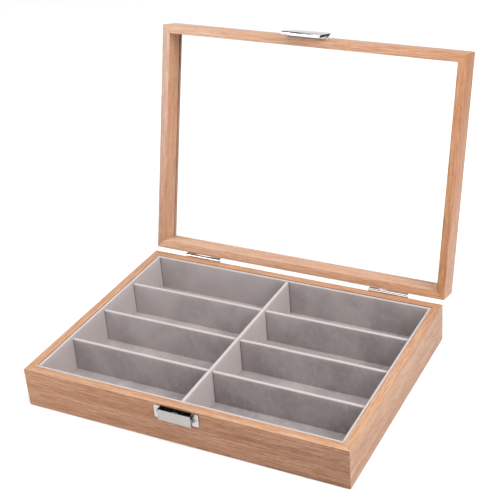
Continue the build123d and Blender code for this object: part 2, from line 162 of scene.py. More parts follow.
class BoxVelvet(bpy.types.PropertyGroup):
    """Sizes and colours of the velvet covered boards."""

    fold: length("Fold", "Radius of the velvet where it folds over a board", 0.0013)
    unevenness: length("Unevenness", "How far the velvet of a board wanders inwards", 0.00028)
    top_wander: length("Top wander", "How far a board's top edge dips", 0.0005)
    # Painted shade: a dark band where a cross board meets the board at its left end.
    shade: length("Crease", "Width of the dark crease at a board's left end", 0.0022)
    step: length("Step", "Spacing of the cuts along a board", 0.006)
    pad_round: length("Pad round", "Radius of the edges of the floor pad", 0.0003)
    pad_dip: length("Pad dip", "How far the floor pad is pressed down beside the boards", 0.0002)
    pile: colour("Velvet", "Colour of the velvet", (0.252, 0.216, 0.214))
    # Paler velvet colour, used both for the brushed patches of the pile and for the painted light towards
    # the back left.
    brushed_and_lit: colour("Brushed velvet", "Colour where the pile is brushed up", (0.50, 0.45, 0.445))
    pad_pile: colour("Floor velvet", "Colour of the velvet on the floor", (0.272, 0.241, 0.236))
    # Painted light: the boards that run front to back, whose faces look sideways, take a paler copy of
    # the velvet.
    lit_side_pile: colour("Side velvet", "Colour of the velvet that faces sideways", (0.43, 0.375, 0.371))
    # Painted light: the velvet is painted paler towards the back left and darker towards the front right.
    lean: amount("Lean", "How much the boards' velvet is brushed up at the back left", 0.6)
    pad_lighting: amount("Floor lean", "How much the floor's velvet is brushed up at the back left", 0.35)
    # The top folds are paler partly from the pressed pile and partly as painted highlight where the tops
    # catch the light.
    folded_and_lit: colour("Folded velvet", "Colour of the velvet on the top folds", (0.515, 0.468, 0.46))


class BoxMetal(bpy.types.PropertyGroup):
    """Sizes and colours of the hinges, catch and hasp."""

    edge: length("Edge", "Width of the broken edges of the plates", 0.0001)
    lever_sheet: length("Lever sheet", "Thickness of the catch lever's sheet", 0.0009)
    lever_bend: length("Lever bend", "Outer radius of the bends of the catch lever", 0.0006)
    lever_heel: length("Lever heel", "How high the lever's cheeks stay full above its lower edge", 0.0094)
    lever_foot: length("Lever foot", "How far the lever's cheeks reach back at the lower edge", 0.0016)
    wire: length("Spring wire", "Diameter of the wire of the catch's spring", 0.00035)
    hasp_sheet: length("Hasp sheet", "Thickness of the hasp's sheet", 0.0008)
    hasp_bend: length("Hasp bend", "Outer radius of the bend to the hasp's lip", 0.0016)
    # Painted shade: how deep the near-black band on the hasp's cheeks reaches.
    hasp_cheek_shade: length("Hasp cheek", "How deep the dark band on the hasp's cheeks is", 0.0032)
    hasp_lip: length("Hasp lip", "How far the hasp's lip reaches back", 0.0031)
    ear_top: length("Ear top", "How far the hasp's cheeks rise above its pin", 0.0012)
    ear_foot: length("Ear foot", "How far the hasp's cheeks go below its pin", 0.0031)
    ear_slope: length("Ear slope", "How far the hasp's cheeks lean in above its pin", 0.0006)
    chrome: colour("Chrome", "Colour of the polished plating", (0.80, 0.79, 0.78))
    bright: colour("Bright chrome", "Colour of the polished plating of the hasp", (0.96, 0.955, 0.95))
    satin: colour("Satin plating", "Colour of the catch's base plate", (0.50, 0.485, 0.47))
    brushed: colour("Brushed plating", "Colour of the catch's lever", (0.375, 0.36, 0.345))
    # Near-black colour painted on faces inside the catch and the hasp, as painted shade and painted dark
    # reflection.
    shade_black: colour("Shaded steel", "Colour of the unpolished faces", (0.02, 0.021, 0.023))
    # Painted highlight: a pale steel, so that the spring's coil shows bright in the dark slot.
    steel: colour("Spring steel", "Colour of the spring's wire", (0.85, 0.85, 0.86))


class BoxStudio(bpy.types.PropertyGroup):
    """The camera, the floor and the lights."""

    azimuth: angle("Azimuth", "How far the camera stands to the right of the front", 27.0905)
    elevation: angle("Elevation", "How far the camera stands above the floor", 28.4893)
    roll: angle("Roll", "How far the picture is turned", -3.6682)
    distance: length("Distance", "From the camera to the place that it looks at", 1.25646)
    target: FloatVectorProperty(
        name="Target",
        description="Place that the camera looks at",
        default=(-0.0302235, 0.1639071, 0.06),
        size=3,
    )
    lens: FloatProperty(name="Lens", description="Focal length on a 36 mm sensor", default=81.69, min=1.0)
    shift_x: FloatProperty(name="Shift X", description="Sideways shift of the picture", default=-0.0614)
    shift_y: FloatProperty(name="Shift Y", description="Upward shift of the picture", default=-0.0196)
    floor: length("Floor", "Side of the square floor", 8.0)
    floor_cuts: IntProperty(name="Floor cuts", description="Cuts across the floor", default=8, min=1)
    floor_colour: colour("Floor colour", "Colour of the floor", (0.97, 0.97, 0.97))
    floor_gap: length("Floor gap", "How far the floor lies below the box", 0.0002)
    flag: length("Flag", "Side of the black cloth overhead, which shows in polished metal alone", 8.0)
    flag_height: length("Flag height", "Height of the black cloth above the floor", 2.6)
    card: length("Card", "Height of the white card in front, which shows in polished metal alone", 1.6)
    card_glow: amount("Card glow", "Strength of the light that the card sends out", 1.15, 10.0)
    sky: amount("Sky", "Strength of the white light all round", 0.74, 10.0)
    key: amount("Key light", "Power of the soft light above the right side, in watts", 24.0, 1000.0)
    top: amount("Top light", "Power of the soft light overhead, in watts", 22.0, 1000.0)
    fill: amount("Fill light", "Power of the soft light at the front left, in watts", 4.0, 1000.0)


# Nodes


def add_node(tree, kind, feeds=None, **settings):
    """A node with its settings, and its inputs linked or given a value."""
    node = tree.nodes.new(kind)
    for key, value in settings.items():
        setattr(node, key, value)
    for key, value in (feeds or {}).items():
        if isinstance(value, bpy.types.NodeSocket):
            tree.links.new(value, node.inputs[key])
        else:
            node.inputs[key].default_value = value
    return node


def blend(tree, share, first, second):
    """The output of a colour mix."""
    return add_node(tree, "ShaderNodeMix", {0: share, 6: first, 7: second}, data_type="RGBA").outputs[2]


def sums(tree, first, second, way="MULTIPLY"):
    """The output of one sum on two values, kept between 0 and 1."""
    feeds = {0: first, 1: second}
    return add_node(tree, "ShaderNodeMath", feeds, operation=way, use_clamp=True).outputs[0]


def stretched(tree, source, factors):
    """Coordinates scaled by a factor for each axis."""
    feeds = {0: source, 1: factors}
    return add_node(tree, "ShaderNodeVectorMath", feeds, operation="MULTIPLY").outputs[0]


def cloudy(tree, source, scale, detail=3.0, rough=0.5, distortion=0.0):
    """A noise value."""
    feeds = {"Vector": source, "Scale": scale, "Detail": detail, "Roughness": rough}
    feeds["Distortion"] = distortion
    return add_node(tree, "ShaderNodeTexNoise", feeds).outputs[0]


def fine(tree, source, factors, *values):
    """A noise value on coordinates that are scaled by a factor for each axis."""
    return cloudy(tree, stretched(tree, source, factors), 1.0, *values)


def ramp(tree, value, low, high):
    """A value brought from the span low to high to the span 0 to 1."""
    feeds = {"Value": value, "From Min": low, "From Max": high}
    return add_node(tree, "ShaderNodeMapRange", feeds, interpolation_type="SMOOTHSTEP").outputs[0]


def spread(tree, value, low, high):
    """A value from 0 to 1 brought to the span low to high."""
    feeds = {"Value": value, "To Min": low, "To Max": high}
    return add_node(tree, "ShaderNodeMapRange", feeds).outputs[0]


def opaque(rgb):
    """A colour with its alpha."""
    return (rgb[0], rgb[1], rgb[2], 1.0)


def new_group(name, **inputs):
    """A shader node group with named inputs that puts out a colour, a roughness and a height."""
    tree = bpy.data.node_groups.new(name, "ShaderNodeTree")
    sockets = {"INPUT": inputs, "OUTPUT": {"Color": "Color", "Roughness": "Float", "Height": "Float"}}
    for side, kinds in sockets.items():
        for label, kind in kinds.items():
            label = label.replace("_", " ")
            tree.interface.new_socket(name=label, in_out=side, socket_type="NodeSocket" + kind)
    return tree, tree.nodes.new("NodeGroupInput").outputs


def send(tree, **values):
    """Links values to the outputs of a group."""
    leaving = tree.nodes.new("NodeGroupOutput")
    for label, value in values.items():
        tree.links.new(value, leaving.inputs[label])


def grain_group():
    """Straight oak-like grain that runs along X, with bands, streaks, fibres and pores."""
    name = "Wood grain"
    if name in bpy.data.node_groups:
        return bpy.data.node_groups[name]
    tree, given = new_group(
        name,
        Vector="Vector",
        Shift="Vector",
        Start="Float",
        End="Float",
        Start_Color="Color",
        End_Color="Color",
        Bands="Float",
        Streaks="Float",
        Pores="Float",
    )
    # The ground colour ramps from Start Color to End Color along X; the wood materials feed it tones that
    # carry painted light and shade.
    along = add_node(tree, "ShaderNodeSeparateXYZ", {0: given["Vector"]}).outputs[0]
    feeds = {"Value": along, "From Min": given["Start"], "From Max": given["End"]}
    share = add_node(tree, "ShaderNodeMapRange", feeds).outputs[0]
    ground = blend(tree, share, given["Start Color"], given["End Color"])
    place = add_node(tree, "ShaderNodeVectorMath", {0: given["Vector"], 1: given["Shift"]}).outputs[0]
    drift = fine(tree, place, (7.0, 11.0, 11.0), 2.0)
    feeds = {0: drift, 1: (0.0, 0.003, 0.003), 2: place}
    drifted = add_node(tree, "ShaderNodeVectorMath", feeds, operation="MULTIPLY_ADD").outputs[0]
    bands = ramp(tree, fine(tree, drifted, (3.0, 95.0, 95.0), 3.0), 0.34, 0.66)
    streaks = ramp(tree, fine(tree, drifted, (36.0, 800.0, 800.0), 3.0, 0.65), 0.4, 0.66)
    fibres = fine(tree, drifted, (140.0, 1500.0, 1500.0), 2.0, 0.6)
    pores = ramp(tree, fine(tree, drifted, (160.0, 2300.0, 2300.0), 1.0), 0.6, 0.72)
    feeds = {0: bands, 1: given["Bands"]}
    power = add_node(tree, "ShaderNodeMath", feeds, operation="MULTIPLY").outputs[0]
    power = add_node(tree, "ShaderNodeMath", {0: 1.0, 1: power}, operation="SUBTRACT").outputs[0]
    threads = ramp(tree, fibres, 0.4, 0.75)
    for dark, depth in ((streaks, given["Streaks"]), (pores, given["Pores"]), (threads, 0.2)):
        feeds = {0: dark, 1: depth, 2: power}
        power = add_node(tree, "ShaderNodeMath", feeds, operation="MULTIPLY_ADD").outputs[0]
    tone = add_node(tree, "ShaderNodeGamma", {"Color": ground, "Gamma": power}).outputs[0]
    rough = spread(tree, fibres, 0.36, 0.56)
    height = sums(tree, fibres, sums(tree, pores, 0.5), "SUBTRACT")
    send(tree, Color=tone, Roughness=rough, Height=height)
    return tree


def nap_group():
    """Short velvet pile, brushed in soft patches, with painted light towards the back left, paler folds
    that are partly painted highlight, and painted shade where boards meet.
    """
    name = "Velvet nap"
    if name in bpy.data.node_groups:
        return bpy.data.node_groups[name]
    tree, given = new_group(
        name,
        Vector="Vector",
        Pile="Color",
        Lifted="Color",
        Folded="Color",
        Fold="Float",
        Lean="Float",
        Crease="Float",
    )
    place = given["Vector"]
    patches = ramp(tree, fine(tree, place, (24.0, 24.0, 20.0), 2.0, 0.5, 0.6), 0.36, 0.68)
    strokes = ramp(tree, fine(tree, place, (170.0, 170.0, 120.0), 3.0, 0.6, 0.8), 0.4, 0.75)
    pile = fine(tree, place, (2600.0, 2600.0, 2600.0), 2.0, 0.6)
    # The brushed patches are the pile's own; the value added to them is painted light towards the back
    # left.
    brushed = sums(tree, sums(tree, patches, 0.34), given["Lean"], "ADD")
    tone = blend(tree, brushed, given["Pile"], given["Lifted"])
    tone = blend(tree, sums(tree, strokes, 0.35), tone, given["Lifted"])
    # Painted shade: near black where a board meets the board at its left end.
    tone = blend(tree, sums(tree, given["Crease"], 0.5), tone, (0.03, 0.022, 0.02, 1.0))
    # Paler top folds: partly the pressed pile, partly painted highlight.
    tone = blend(tree, given["Fold"], tone, given["Folded"])
    speckle = ramp(tree, pile, 0.3, 0.62)
    tone = blend(tree, sums(tree, sums(tree, 1.0, speckle, "SUBTRACT"), 0.22), tone, given["Pile"])
    send(tree, Color=tone, Roughness=spread(tree, pile, 0.82, 1.0), Height=pile)
    return tree


def marks_group():
    """Faint brushing and finger marks on polished surfaces."""
    name = "Polish marks"
    if name in bpy.data.node_groups:
        return bpy.data.node_groups[name]
    tree, given = new_group(name, Vector="Vector", Tint="Color", Gloss="Float", Smears="Float")
    place = given["Vector"]
    smears = ramp(tree, cloudy(tree, place, 160.0, 3.0, 0.6, 0.8), 0.42, 0.75)
    lines = fine(tree, place, (90.0, 3000.0, 3000.0), 2.0)
    rough = sums(tree, given["Gloss"], sums(tree, smears, given["Smears"]), "ADD")
    tone = blend(tree, sums(tree, smears, 0.12), given["Tint"], (0.6, 0.6, 0.61, 1.0))
    send(tree, Color=tone, Roughness=rough, Height=lines)
    return tree


# Materials


def new_material(name):
    """A material with an empty Principled surface, and the piece's own coordinates."""
    material = bpy.data.materials.new(name)
    material.use_nodes = True
    tree = material.node_tree
    place = add_node(tree, "ShaderNodeTexCoord").outputs["Object"]
    return material, tree, tree.nodes["Principled BSDF"], place


def raise_surface(tree, surface, height, strength, depth):
    """A bump from a height, on the surface's normal."""
    bump = add_node(tree, "ShaderNodeBump", {"Height": height, "Strength": strength, "Distance": depth})
    tree.links.new(bump.outputs["Normal"], surface.inputs["Normal"])


def dress(tree, surface, effect):
    """The colour and the roughness of an effect, on the surface."""
    tree.links.new(effect.outputs["Color"], surface.inputs["Base Color"])
    tree.links.new(effect.outputs["Roughness"], surface.inputs["Roughness"])


def powered(rgb, power):
    """A colour with each part raised to a power: above 1 it is darker, below 1 paler."""
    return opaque([part**power for part in rgb])


def between(first, second, share):
    """A colour part of the way from one colour to another."""
    return [a + (b - a) * share for a, b in zip(first, second)]


def wood_material(name, tones, turn, ends, shift):
    """Satin wood whose grain runs along one member, and whose colour drifts from its start to its end; on
    the front wall and the lid that drift is painted shade.
    """
    sizes = bpy.context.scene.box_wood
    material, tree, surface, place = new_material(name)
    turned = add_node(tree, "ShaderNodeMapping", {"Vector": place, "Rotation": turn})
    grain = add_node(tree, "ShaderNodeGroup", node_tree=grain_group())
    tree.links.new(turned.outputs["Vector"], grain.inputs["Vector"])
    values = {
        "Shift": shift,
        "Start": ends[0],
        "End": ends[1],
        "Start Color": opaque(tones[0]),
        "End Color": opaque(tones[1]),
        "Bands": sizes.bands,
        "Streaks": sizes.streaks,
        "Pores": sizes.pores,
    }
    for label, value in values.items():
        grain.inputs[label].default_value = value
    dress(tree, surface, grain)
    surface.inputs["Specular IOR Level"].default_value = 0.4
    raise_surface(tree, surface, grain.outputs["Height"], 0.25, 0.0002)
    return material


def shade_mask(tree, place, left_ends, width):
    """Where a board that runs across meets the boards at its left ends: the mask of its painted shade."""
    across = add_node(tree, "ShaderNodeSeparateXYZ", {0: place}).outputs[0]
    mask = 0.0
    for end in left_ends:
        near = sums(tree, ramp(tree, across, end + width, end), ramp(tree, across, end - width, end))
        mask = sums(tree, mask, near, "ADD")
    return mask


def velvet_material(name, pile, lean, left_ends=()):
    """Short grey velvet with a soft sheen, paler on its folds, partly as painted highlight, with painted
    light towards the back left and painted shade at the left ends of cross boards.
    """
    if name in bpy.data.materials:
        return bpy.data.materials[name]
    colours = bpy.context.scene.box_velvet
    material, tree, surface, place = new_material(name)
    fold = add_node(tree, "ShaderNodeAttribute", attribute_name="fold")
    nap = add_node(tree, "ShaderNodeGroup", node_tree=nap_group())
    tree.links.new(place, nap.inputs["Vector"])
    tree.links.new(fold.outputs["Fac"], nap.inputs["Fold"])
    # Painted light: a ramp that pales the velvet towards the back left.
    feeds = {0: place, 1: (-1.0, 1.0, 0.0)}
    back_left = add_node(tree, "ShaderNodeVectorMath", feeds, operation="DOT_PRODUCT").outputs["Value"]
    feeds = {"Value": back_left, "From Min": -0.14, "From Max": 0.19, "To Max": lean}
    tree.links.new(add_node(tree, "ShaderNodeMapRange", feeds).outputs[0], nap.inputs["Lean"])
    if left_ends:
        tree.links.new(shade_mask(tree, place, left_ends, colours.shade), nap.inputs["Crease"])
    tones = {"Pile": pile, "Lifted": colours.brushed_and_lit, "Folded": colours.folded_and_lit}
    for label, rgb in tones.items():
        nap.inputs[label].default_value = opaque(rgb)
    dress(tree, surface, nap)
    surface.inputs["Specular IOR Level"].default_value = 0.15
    surface.inputs["Sheen Weight"].default_value = 0.35
    surface.inputs["Sheen Roughness"].default_value = 0.45
    surface.inputs["Sheen Tint"].default_value = (1.0, 0.96, 0.95, 1.0)
    raise_surface(tree, surface, nap.outputs["Height"], 0.5, 0.0003)
    return material


def metal_material(name, tint, gloss, smears, metallic=1.0):
    """Plated or drawn metal with faint marks."""
    if name in bpy.data.materials:
        return bpy.data.materials[name]
    material, tree, surface, place = new_material(name)
    marks = add_node(tree, "ShaderNodeGroup", node_tree=marks_group())
    tree.links.new(place, marks.inputs["Vector"])
    marks.inputs["Tint"].default_value = opaque(tint)
    marks.inputs["Gloss"].default_value = gloss
    marks.inputs["Smears"].default_value = smears
    dress(tree, surface, marks)
    surface.inputs["Metallic"].default_value = metallic
    raise_surface(tree, surface, marks.outputs["Height"], 0.08, 0.00005)
    return material


def chrome_material():
    """Polished plating of the hinges and of the hasp's base plate."""
    return metal_material("Polished plating", bpy.context.scene.box_metal.chrome, 0.07, 0.1)


def dark_material():
    """Near-black metal inside the catch and the hasp: painted shade and painted dark reflection."""
    return metal_material("Shaded steel", bpy.context.scene.box_metal.shade_black, 0.4, 0.2)


def glass_material():
    """Clear flat glass that lets light through to what lies behind."""
    material, tree, surface, place = new_material("Clear glass")
    surface.inputs["Base Color"].default_value = (0.99, 0.996, 0.993, 1.0)
    surface.inputs["Transmission Weight"].default_value = 1.0
    surface.inputs["IOR"].default_value = 1.46
    haze = ramp(tree, cloudy(tree, place, 30.0, 3.0, 0.6), 0.5, 0.9)
    tree.links.new(sums(tree, haze, 0.03), surface.inputs["Roughness"])
    clear = add_node(tree, "ShaderNodeBsdfTransparent", {"Color": (0.98, 0.99, 0.985, 1.0)})
    path = add_node(tree, "ShaderNodeLightPath")
    feeds = {0: path.outputs["Is Shadow Ray"], 1: surface.outputs["BSDF"], 2: clear.outputs["BSDF"]}
    mix = add_node(tree, "ShaderNodeMixShader", feeds)
    tree.links.new(mix.outputs["Shader"], tree.nodes["Material Output"].inputs["Surface"])
    return material


def board_material():
    """Pressed wood fibre of the bottom panel."""
    colours = bpy.context.scene.box_wood
    material, tree, surface, place = new_material("Fibre board")
    flecks = cloudy(tree, place, 900.0, 4.0, 0.7)
    clouds = cloudy(tree, place, 45.0, 3.0)
    paler = powered(colours.board, 1.0 - colours.bands)
    darker = powered(colours.board, 1.0 + colours.streaks)
    tone = blend(tree, ramp(tree, clouds, 0.35, 0.7), opaque(colours.board), paler)
    tone = blend(tree, sums(tree, ramp(tree, flecks, 0.5, 0.75), 0.5), tone, darker)
    tree.links.new(tone, surface.inputs["Base Color"])
    tree.links.new(spread(tree, flecks, 0.6, 0.85), surface.inputs["Roughness"])
    raise_surface(tree, surface, flecks, 0.3, 0.0002)
    return material


# Modelling


def prism(shape, outline, along, start, end):
    """A closed solid: an outline of two axes drawn out along the third."""
    low = []
    for first, second in outline:
        place = [first, second]
        place.insert(along, start)
        low.append(shape.verts.new(place))
    face = shape.faces.new(low)
    drawn = bmesh.ops.extrude_face_region(shape, geom=[face], use_keep_orig=True)["geom"]
    step = Vector((0.0, 0.0, 0.0))
    step[along] = end - start
    top = [item for item in drawn if isinstance(item, bmesh.types.BMVert)]
    bmesh.ops.translate(shape, vec=step, verts=top)
    bmesh.ops.recalc_face_normals(shape, faces=shape.faces)
    return shape


def brick(shape, low, high):
    """A closed box between two corners."""
    outline = [(low[0], low[1]), (high[0], low[1]), (high[0], high[1]), (low[0], high[1])]
    return prism(shape, outline, 2, low[2], high[2])


def soften(shape, edges, width, segments=2):
    """Rounds some edges."""
    if not edges:
        raise RuntimeError("no edge was found to round")
    bmesh.ops.bevel(
        shape,
        geom=list(edges),
        affect="EDGES",
        offset=width,
        offset_type="OFFSET",
        segments=segments,
        profile=0.5,
        material=-1,
        clamp_overlap=True,
    )


def sharp_edges(shape, degrees=30.0, longest=0.0):
    """Edges where two faces meet at more than an angle."""
    limit = math.radians(degrees)
    return [
        edge
        for edge in shape.edges
        if edge.is_manifold and edge.calc_face_angle(0.0) > limit and edge.calc_length() > longest
    ]


def cut(shape, place, normal, clear=False):
    """Cuts a shape on a plane, and clears what lies behind the plane if asked to."""
    everything = list(shape.verts) + list(shape.edges) + list(shape.faces)
    bmesh.ops.bisect_plane(
        shape, geom=everything, dist=1e-7, plane_co=place, plane_no=normal, clear_inner=clear
    )


def slice_up(shape, axis, start, end, step):
    """Cuts across a shape at even steps, so that its faces can be pushed about."""
    parts = max(1, round((end - start) / step))
    normal = Vector((0.0, 0.0, 0.0))
    normal[axis] = 1.0
    for part in range(1, parts):
        cut(shape, normal * (start + (end - start) * part / parts), normal)


def keep_side(shape, place, normal):
    """Cuts a shape on a plane, keeps what lies along the normal and closes the cut."""
    cut(shape, place, normal, True)
    bmesh.ops.holes_fill(shape, edges=[edge for edge in shape.edges if edge.is_boundary])


def open_up(shape):
    """Turns a piece that was modelled on the closed lid to where the lid stands open."""
    bmesh.ops.rotate(shape, cent=hinge_line, matrix=opening, verts=shape.verts)


def finish_piece(name, shape, materials, body, slot, nodes):
    """Makes an object of a shape, rides it on its body, if one is named, and stands it for its nodes."""
    mesh = bpy.data.meshes.new(name)
    shape.to_mesh(mesh)
    shape.free()
    for material in materials:
        mesh.materials.append(material)
    mesh.shade_smooth()
    mesh.set_sharp_from_angle(angle=math.radians(SMOOTH_METAL if slot == "chrome" else SMOOTH))
    piece = bpy.data.objects.new(name, mesh)
    bpy.context.scene.collection.objects.link(piece)
    if body:
        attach(piece, body)
    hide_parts(*nodes)
    return piece


def ring(profile, half_x, half_y):
    """A rectangular ring: a profile spun in four steps, then its halves drawn apart."""
    shape = bmesh.new()
    corners = [shape.verts.new((inset - half_y, inset - half_y, height)) for inset, height in profile]
    sides = [shape.edges.new((corners[at - 1], corners[at])) for at in range(len(corners))]
    bmesh.ops.spin(
        shape,
        geom=corners + sides,
        cent=(0.0, 0.0, 0.0),
        axis=(0.0, 0.0, 1.0),
        angle=math.radians(360.0),
        steps=4,
        use_merge=True,
    )
    bmesh.ops.remove_doubles(shape, verts=shape.verts, dist=1e-6)
    for side in (-1, 1):
        half = [vertex for vertex in shape.verts if vertex.co.x * side > 0]
        bmesh.ops.translate(shape, vec=(side * (half_x - half_y), 0.0, 0.0), verts=half)
    bmesh.ops.recalc_face_normals(shape, faces=shape.faces)
    return shape


def outer_edges(shape, half_x, half_y):
    """Edges that lie on the outer faces of a ring."""
    found = []
    for edge in shape.edges:
        middle = (edge.verts[0].co + edge.verts[1].co) / 2
        if abs(middle.x) > half_x - NEAR or abs(middle.y) > half_y - NEAR:
            found.append(edge)
    return found


# Each member lies between two corners. Each pair is the corner and the normal of a mitre.
MITRES = {
    "front": (((-1, -1), (1, -1)), ((1, -1), (-1, -1))),
    "back": (((-1, 1), (1, 1)), ((1, 1), (-1, 1))),
    "left": (((-1, -1), (-1, 1)), ((-1, 1), (-1, -1))),
    "right": (((1, -1), (1, 1)), ((1, 1), (1, -1))),
}


def member(side, profile, sizes):
    """One member of a ring, cut on its two mitres, with its edges broken."""
    shape = ring(profile, case_half_x, case_half_y)
    soften(shape, outer_edges(shape, case_half_x, case_half_y), sizes.outer_round, 4)
    for corner, normal in MITRES[side]:
        place = (corner[0] * case_half_x, corner[1] * case_half_y, 0.0)
        keep_side(shape, place, (normal[0], normal[1], 0.0))
    bmesh.ops.recalc_face_normals(shape, faces=shape.faces)
    soften(shape, sharp_edges(shape, 40.0), sizes.arris, 2)
    return shape


def cad_copy(node, edge_width=0.0):
    """A node's own solid as one closed mesh, with its long edges broken."""
    shape = bmesh.new()
    shape.from_mesh(frame["nodes"][node].data)
    bmesh.ops.remove_doubles(shape, verts=shape.verts, dist=1e-6)
    bmesh.ops.dissolve_limit(
        shape,
        angle_limit=math.radians(0.5),
        verts=shape.verts,
        edges=shape.edges,
        use_dissolve_boundaries=False,
    )
    if edge_width:
        soften(shape, sharp_edges(shape, 50.0, edge_width * 3), edge_width, 2)
    return shape


def metal_piece(name, node, body, edge_width=0.0, material=None):
    """A metal piece on its node's solid."""
    shape = cad_copy(node, edge_width)
    finish_piece(name, shape, [material or chrome_material()], body, "chrome", [node])


# Wood and glass


class OBJECT_OT_box_case_walls(bpy.types.Operator):
    """Model the four mitred walls of the case"""

    bl_idname = "organizer_box.case_walls"
    bl_label = "Case walls"

    def execute(self, context):
        sizes = context.scene.box_wood
        rebate = case_half_y - panel_high.y - sizes.panel_play
        height = front_high.z
        profile = [
            (0.0, 0.0),
            (0.0, height),
            (sizes.wall, height),
            (sizes.wall, panel_high.z),
            (rebate, panel_high.z),
            (rebate, 0.0),
        ]
        parts = {
            "front": (0.0, sizes.rim),
            "back": (0.0, sizes.rim_back),
            "left": (QUARTER, sizes.rim_left),
            "right": (QUARTER, sizes.rim),
        }
        for number, (side, (turn, tone)) in enumerate(parts.items()):
            shape = member(side, profile, sizes)
            for face in shape.faces:
                # Faces that look up take the rim tone, whose differences from wall to wall are painted
                # light.
                face.material_index = 1 if face.normal.z > 0.7 else 0
            shift = (0.37 * number, 0.05 * number, 0.11 * number)
            turned = (0.0, 0.0, turn)
            half = case_half_y if turn else case_half_x
            # Painted shade: the front wall darkens from its left end to its right end, while the side
            # walls keep one tone.
            tones = (sizes.side, sizes.side) if turn else (sizes.front, sizes.front_shaded)
            wood = wood_material("Wood wall " + side, tones, turned, (-half, half), shift)
            rim = wood_material("Wood rim " + side, (tone, tone), turned, (-half, half), shift)
            finish_piece("wall_" + side, shape, [wood, rim], "case", "wood", ["case_" + side])
        return {"FINISHED"}


class OBJECT_OT_box_lid_frame(bpy.types.Operator):
    """Model the four mitred members of the lid, with the groove for the pane"""

    bl_idname = "organizer_box.lid_frame"
    bl_label = "Lid frame"

    def execute(self, context):
        sizes = context.scene.box_wood
        low = pane_low.z - sizes.glass_play
        high = pane_high.z + sizes.glass_play
        deep = case_half_y - pane_high.y - sizes.glass_play
        profile = [
            (0.0, rail_low.z),
            (0.0, rail_high.z),
            (sizes.member, rail_high.z),
            (sizes.member, high),
            (deep, high),
            (deep, low),
            (sizes.member, low),
            (sizes.member, rail_low.z),
        ]
        # How far each member's outside and inside are painted towards the shaded tone, at its start and
        # at its end: painted light and shade.
        parts = {
            "front": ("lid_front_rail", 0.0, (0.05, 0.85), (0.6, 0.6)),
            "back": ("lid_back_rail", 0.0, (0.4, 1.0), (0.25, 0.5)),
            "left": ("lid_left_stile", QUARTER, None, (1.0, 0.75)),
            "right": ("lid_right_stile", QUARTER, (1.05, 1.1), (0.8, 0.8)),
        }
        for number, (side, (node, turn, outer_shading, inner_shading)) in enumerate(parts.items()):
            shape = member(side, profile, sizes)
            for face in shape.faces:
                face.material_index = self.tone_slot_of(face, sizes.member, low)
            open_up(shape)
            turned = (lid_open, 0.0, turn)
            ends = (-case_half_x, case_half_x)
            if turn:
                ends = (lid_slide - case_half_y, lid_slide + case_half_y)
            shift = (0.29 * number + 1.3, 0.07 * number, 0.13 * number)
            inside = [between(sizes.lid, sizes.lid_shaded, share) for share in inner_shading]
            if outer_shading:
                outside = [between(sizes.lid, sizes.lid_shaded, share) for share in outer_shading]
                lip = inside
            else:
                outside = (sizes.stile, sizes.stile_shaded)
                # Painted shade on the left stile's lip behind the pane.
                lip = (sizes.lip, between(sizes.lip, sizes.stile_shaded, 0.6))
            # Painted shade on the stiles' outer faces.
            edge = (sizes.edge, sizes.edge_pale)
            tones = {"": outside, " inside": inside, " lip": lip, " edge": edge}
            woods = [
                wood_material("Wood lid " + side + label, pair, turned, ends, shift)
                for label, pair in tones.items()
            ]
            finish_piece("frame_" + side, shape, woods, "lid", "wood", [node])
        return {"FINISHED"}

    def tone_slot_of(self, face, width, groove):
        """The closed lid's tone slots, which carry painted light and shade: 0 outside, 1 inner faces, 2
        groove and lip, 3 outer ends.
        """
        near = 1e-4
        place = face.calc_center_median()
        inset = min(case_half_x - abs(place.x), case_half_y - abs(place.y))
        if inset > width - near:
            return 2 if place.z > groove else 1
        if case_half_x - abs(place.x) < near:
            return 3
        hidden = groove - near < place.z < rail_high.z - near and inset > near * 20
        return 2 if hidden else 0


class OBJECT_OT_box_pane(bpy.types.Operator):
    """Model the glass pane with its ground edges"""

    bl_idname = "organizer_box.pane"
    bl_label = "Glass pane"

    def execute(self, context):
        shape = brick(bmesh.new(), pane_low, pane_high)
        soften(shape, list(shape.edges), context.scene.box_wood.glass_arris, 1)
        open_up(shape)
        finish_piece("pane", shape, [glass_material()], "lid", "glass", ["lid_glass"])
        return {"FINISHED"}


class OBJECT_OT_box_panel(bpy.types.Operator):
    """Model the bottom panel in its rebate"""

    bl_idname = "organizer_box.panel"
    bl_label = "Bottom panel"

    def execute(self, context):
        shape = brick(bmesh.new(), panel_low, panel_high)
        soften(shape, sharp_edges(shape), context.scene.box_wood.arris * 2, 2)
        finish_piece("base_panel", shape, [board_material()], "case", "panel", ["bottom_panel"])
        return {"FINISHED"}


# Velvet


def clamp(value):
    """A value kept between 0 and 1."""
    return max(0.0, min(1.0, value))


def wandering(place):
    """A smooth random value between 0 and 1."""
    return 0.5 + 0.5 * noise.noise(place)


def notched_outline(low, high, notches):
    """The side view of a board: a rectangle with notches cut from below or above."""
    outline = [(low.x, low.z)]
    for start, end, deep, from_below in notches:
        if from_below:
            outline += [(start, low.z), (start, deep), (end, deep), (end, low.z)]
    outline += [(high.x, low.z), (high.x, high.z)]
    for start, end, deep, from_below in reversed(notches):
        if not from_below:
            outline += [(end, high.z), (end, deep), (start, deep), (start, high.z)]
    outline.append((low.x, high.z))
    return outline


